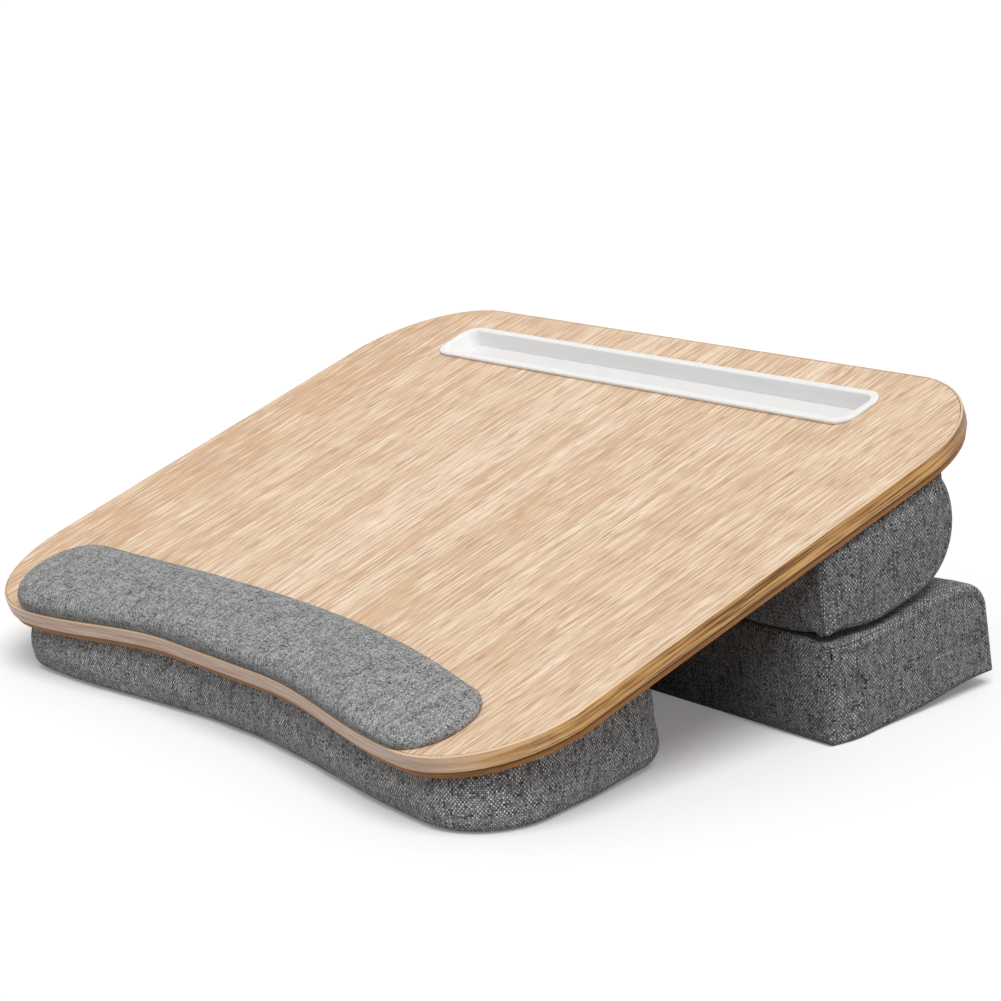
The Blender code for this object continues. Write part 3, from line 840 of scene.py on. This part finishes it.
def make_front_cushion(material):
    outline = front_cushion_outline()
    outward = normals(outline)
    distance = walked(outline)
    edges = [front_edge_radius(p) for p in outline]
    rings, flat = [], []
    for turn in steps(0.0, math.pi / 2, 5):
        ring = []
        for p, n, edge in zip(outline, outward, edges):
            inset_by = edge * (1.0 - math.sin(turn)) - side_push(p, n, 0.0)
            ring.append(front_point(p - n * inset_by, edge * (1.0 - math.cos(turn))))
        rings.append(ring)
        flat.append([(d, FRONT_EDGE * (turn - 1.5)) for d in distance])
    for t in steps(0.0, 1.0, 12)[1:]:
        ring = []
        for p, n, edge in zip(outline, outward, edges):
            height = edge + (underside(p.y) - edge) * t
            ring.append(front_point(p + n * side_push(p, n, t), height))
        rings.append(ring)
        flat.append([(d, point.z) for d, point in zip(distance, ring + ring[:1])])
    floor_ring = [p - n * (edge - side_push(p, n, 0.0))
                  for p, n, edge in zip(outline, outward, edges)]
    spine = [Vector((min(max(p.x, -FRONT_MIDDLE_END), FRONT_MIDDLE_END), FRONT_MIDDLE))
             for p in outline]
    middle = [p.lerp(target, CAP_FROM) for p, target in zip(outline, spine)]
    under = [[Vector((p.x, FRONT_LINE + p.y, 0.0)) for p in ring] for ring in (middle, floor_ring)]
    under_flat = [closed([tuple(p) for p in ring]) for ring in (middle, floor_ring)]
    top = [rings[-1], [Vector((p.x, FRONT_LINE + p.y, underside(p.y))) for p in middle]]
    top_flat = [closed([(q.x, q.y) for q in ring]) for ring in top]
    bands = [(under, under_flat), (rings, flat), (top, top_flat)]
    caps = [(under[0], under_flat[0]), (top[1], top_flat[1])]
    return skin("front_cushion", bands, caps, material,
                ("front_cushion_cover", "front_cushion_foam"), front_held)


def front_edge_radius(place):
    """The rounding of the bottom edge: wider at the left lobe and at the rear."""
    rear = smooth_step((place.y - 0.075) / 0.040)
    left = smooth_step((-place.x - 0.13) / 0.05) * smooth_step((0.060 - place.y) / 0.030)
    return FRONT_EDGE + FRONT_REAR_EDGE * rear + FRONT_LEFT_EDGE * left


def side_push(place, outward, t):
    """How far the side stands out, from its foot at t = 0 to the board at t = 1."""
    rear = smooth_step((place.y - 0.055) / 0.060)
    push = FRONT_BULGE * math.sin(math.pi * min(1.0, 0.12 + 0.88 * t)) - 0.0016 * t ** 6
    push += rear * (0.0012 * math.exp(-(t / 0.13) ** 2) - 0.0010 * smooth_step(t / 0.30))
    push -= rear * 0.0040 * smooth_step((t - 0.30) / 0.50)
    lean = smooth_step((-outward.x - 0.10) / 0.4) * smooth_step((0.070 - place.y) / 0.030)
    return push - lean * (0.0040 + 0.0070 * (1.0 - t) ** 1.2)


def front_point(place, height):
    """A point of the front cushion's cloth."""
    uneven = wander(place[0], place[1], height, 0.030, 0.0007) * smooth_step(height / 0.008)
    return Vector((place[0] * (1.0 + uneven / 0.2), FRONT_LINE + place[1] + uneven, height))


# Rear cushions: each is a profile in Y and Z, stretched along X and closed by an end panel

def lower_profile():
    """The lower cushion from the right, from the bottom of its front face round by the rear."""
    rear = REAR_FRONT + LOWER_DEPTH
    top = LOWER_HEIGHT
    points = arc((REAR_FRONT + 0.002, 0.002), 0.002, 180, 270, 3)
    points += [(REAR_FRONT + d, lower_lift(REAR_FRONT + d))
               for d in steps(0.006, LOWER_DEPTH - 0.008, 20)]
    foot = (rear - LOWER_FOOT_ROUND, lower_lift(rear) + LOWER_FOOT_ROUND)
    points += arc(foot, LOWER_FOOT_ROUND, -70, 0, 5)
    round_start = rear - LOWER_LEAN - LOWER_TOP_ROUND
    round_top = top + lower_crown(round_start)
    points += arc((round_start, round_top - LOWER_TOP_ROUND), LOWER_TOP_ROUND, 0, 90, 7)
    points += [(REAR_FRONT + d, top + lower_crown(REAR_FRONT + d))
               for d in steps(LOWER_DEPTH - 0.021, 0.005, 20)]
    points += arc((REAR_FRONT + 0.0025, top - 0.0025), 0.0025, 90, 180, 3)
    return even(points, CUSHION_SPACING)


def lower_lift(y):
    """How far the lower cushion's bottom is off the floor towards its rear."""
    return LOWER_LIFT * smooth_step((y - 0.214) / 0.080)


def lower_crown(y):
    """How far the lower cushion's top stands above its front edge."""
    to_rear = REAR_FRONT + LOWER_DEPTH - y
    return LOWER_CROWN * smooth_step((y - 0.222) / 0.050) * smooth_step((to_rear + 0.006) / 0.035)


def upper_profile():
    """The upper cushion from the right, in the same order."""
    front_round = UPPER_FRONT_ROUND
    centre = Vector((REAR_FRONT + UPPER_DEPTH - UPPER_RADIUS, UPPER_BOTTOM + UPPER_LIFT + UPPER_RADIUS))
    start = math.degrees(UPPER_SLOPE) - 90.0
    low = centre + UPPER_RADIUS * Vector((math.cos(math.radians(start)), math.sin(math.radians(start))))
    bend = low.x - (low.y - UPPER_BOTTOM) / math.tan(UPPER_SLOPE)
    points = arc((REAR_FRONT + front_round, UPPER_BOTTOM + front_round), front_round, 180, 270, 4)
    points += [(y, UPPER_BOTTOM) for y in steps(REAR_FRONT + 0.006, bend - 0.004, 5)]
    points += [(y, UPPER_BOTTOM + (y - bend) * math.tan(UPPER_SLOPE))
               for y in steps(bend + 0.004, low.x - 0.003, 8)]
    points += arc(centre, UPPER_RADIUS, start, math.degrees(TILT), 16)
    last = Vector(points[-1])
    up = Vector((-math.sin(TILT), math.cos(TILT)))
    reach = (underside(last.x) - last.y) / (up.y - up.x * math.tan(TILT))
    for t in steps(0.0, 1.0, 8)[1:]:
        y, z = last + up * reach * t
        y -= UPPER_LEAN * t * t
        points.append((y, min(z, underside(y))))
    corner = points[-1][0]
    points += [(y, underside(y)) for y in steps(corner, REAR_FRONT, 16)[1:]]
    points += [(REAR_FRONT, z)
               for z in steps(underside(REAR_FRONT), UPPER_BOTTOM + front_round, 14)[1:-1]]
    return even(points, CUSHION_SPACING)


def make_rear_cushion(name, profile, taper, middle, material, cad_nodes, end_bulge, held):
    """Stretch the profile between the end seams and close it with two crowned end panels."""
    outward = normals(profile)
    distance = walked(profile)
    half = REAR_WIDTH / 2
    rings, flat = [], []
    for t in [-1.0, -0.9975, -0.994, -0.988] + steps(-0.97, 0.97, 74) + [0.988, 0.994, 0.9975, 1.0]:
        rings.append([wrap_point(p, n, t, half, taper) for p, n in zip(profile, outward)])
        flat.append([(t * half, d) for d in distance])
    seams = (rings[0], rings[-1])
    ends = [end_panel(seam, side, middle, end_bulge) for side, seam in zip((-1.0, 1.0), seams)]
    caps = [(end_rings[-1], end_flat[-1]) for end_rings, end_flat in ends]
    item = skin(name, [(rings, flat)] + ends, caps, material, cad_nodes, held)
    stitch_row(name + "_stitches", seams, middle, end_bulge, item.data)


def wrap_point(p, n, t, half, taper):
    """A point of the panel that wraps round the cushion."""
    x = t * half * taper(p.x)
    from_seam = half * (1.0 - abs(t))
    push = wander(x, p.x, p.y, 0.040, 0.0010) - SEAM_SINK * math.exp(-from_seam / 0.006)
    push += SEAM_RIDGE * math.exp(-((from_seam - 0.0020) / RIDGE_WIDTH) ** 2)
    push += pucker(from_seam, p.y - LOWER_HEIGHT) * smooth_step((REAR_FRONT + 0.010 - p.x) / 0.008)
    off_board = 1.0 - smooth_step((p.y - underside(p.x, CUSHION_TOP - 0.004)) / 0.0035)
    push *= off_board * off_floor(p.y)
    return Vector((x, FRONT_LINE + p.x + n.x * push, p.y + n.y * push))


def pucker(first, second):
    """Small folds that run out from the corner where the cushions are sewn together."""
    reach = math.hypot(first, second)
    turn = math.atan2(second, first)
    fade = math.exp(-reach / PUCKER_REACH) * smooth_step(reach / 0.004)
    return PUCKER_HEIGHT * math.cos(PUCKER_FOLDS * turn + 0.9) * fade


def end_target(point, middle):
    """The point of the panel's middle line that a point of its seam is drawn to."""
    y = min(max(point.y - FRONT_LINE, middle[0]), middle[1])
    return Vector((point.x, FRONT_LINE + y, middle[2]))


def end_point(point, side, middle, height, t):
    """A point of an end panel, on the way from its seam to the middle of the panel."""
    place = point.lerp(end_target(point, middle), t)
    from_seam = (place - point).length
    swell = height * (1.0 - (1.0 - t) ** 2.4)
    swell += wander(place.y, place.z, side, 0.028, 0.0009) * smooth_step(t * 5)
    swell += END_RIDGE * math.exp(-((from_seam - 0.0022) / RIDGE_WIDTH) ** 2)
    swell += pucker(place.y - FRONT_LINE - REAR_FRONT, place.z - LOWER_HEIGHT)
    place.x = point.x + side * swell
    return place


def end_panel(seam, side, middle, height):
    """The crowned panel inside an end seam."""
    rings, flat = [], []
    for t in [0.0, 0.02, 0.04, 0.06, 0.08, 0.11, 0.15] + steps(0.20, CAP_FROM, 14):
        ring = [end_point(point, side, middle, height, t) for point in seam]
        rings.append(ring)
        flat.append(closed([(q.y - FRONT_LINE + side, q.z) for q in ring]))
    return rings, flat


def stitch_row(name, seams, middle, height, cloth):
    """Stitches of thread along the seams of both end panels, laid on the filled cloth."""
    surface = BVHTree.FromPolygons([vertex.co for vertex in cloth.vertices],
                                   [tuple(face.vertices) for face in cloth.polygons])
    work = bmesh.new()
    for side, seam in zip((-1.0, 1.0), seams):
        path = [end_point(p, side, middle, height, STITCH_INSET / (end_target(p, middle) - p).length)
                for p in seam]
        path = [surface.find_nearest(point)[0] for point in path]
        for i in range(0, len(path) - 2, 2):
            first, second = path[i], path[i].lerp(path[i + 1], STITCH_FILL)
            top = underside(first.y - FRONT_LINE) - STITCH_CLEAR
            if max(first.z, second.z) < top and first.z > STITCH_CLEAR:
                add_stitch(work, first, second, side)
    item = place_mesh(name, work, seam_thread())
    item.data.shade_smooth()
    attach(item, "root")


def add_stitch(work, first, second, side):
    """One stitch: a short spindle of thread, half sunk in the cloth."""
    along = (second - first).normalized()
    across = along.cross(Vector((side, 0.0, 0.0))).normalized()
    rise = along.cross(across)
    rows = []
    for t, radius in ((0.0, STITCH_TIP), (0.2, STITCH_RADIUS), (0.8, STITCH_RADIUS), (1.0, STITCH_TIP)):
        centre = first.lerp(second, t) + Vector((side * STITCH_RISE, 0.0, 0.0))
        rows.append([work.verts.new(centre + radius * (across * math.cos(a) + rise * math.sin(a)))
                     for a in steps(0.0, math.tau, 6)[:-1]])
    for lower, upper in zip(rows, rows[1:]):
        for i in range(6):
            j = (i + 1) % 6
            work.faces.new((lower[i], lower[j], upper[j], upper[i]))
    work.faces.new(reversed(rows[0]))
    work.faces.new(rows[-1])


def lower_taper(y):
    """The lower cushion's width towards its rear, as a share of the whole, with its wider foot."""
    share = max(0.0, (y - REAR_FRONT) / LOWER_DEPTH)
    return 1.0 - LOWER_TAPER * share ** 1.8 + LOWER_SPREAD * math.exp(-((y - 0.204) / 0.015) ** 2)


def upper_taper(y):
    """The upper cushion's width towards its rear, as a share of the whole."""
    return 1.0 - UPPER_TAPER * max(0.0, (y - REAR_FRONT) / UPPER_DEPTH)


# Everything

def dress(node, material):
    """Give a CAD node its finished material."""
    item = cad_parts[node]
    for slot in item.material_slots:
        slot.material = material


def main():
    bpy.context.scene.view_settings.view_transform = "Standard"
    make_camera()
    make_world()
    make_key_light()
    make_floor()
    dress("board_panel", oak_top())
    dress("edge_band", oak_edge())
    dress("base_panel", brown_board())
    dress("slot_tray", tray_plastic())
    dress("fold_tape", weave("black_webbing", 0.06, 0.5, 0.7, 0.3, "Object"))
    make_wrist_rest(weave("light_linen", REST_LINEN, 0.75, 0.60, 0.14))
    make_front_cushion(weave("front_linen", FRONT_LINEN, 0.85, 0.85, 0.42))
    # The rear cushions' cloth is a darker copy of the front cushion's, partly painted shade under the
    # board.
    linen = weave("grey_linen", REAR_LINEN_PARTLY_SHADED, 0.85, 0.85, 0.42)
    make_rear_cushion("upper_cushion", upper_profile(), upper_taper, UPPER_MIDDLE, linen,
                      ("upper_cushion_cover", "upper_cushion_foam"), UPPER_SWELL, upper_held)
    make_rear_cushion("lower_cushion", lower_profile(), lower_taper, LOWER_MIDDLE, linen,
                      ("lower_cushion_cover", "lower_cushion_foam", "lower_cushion_bottom"),
                      LOWER_SWELL, lower_held)


main()
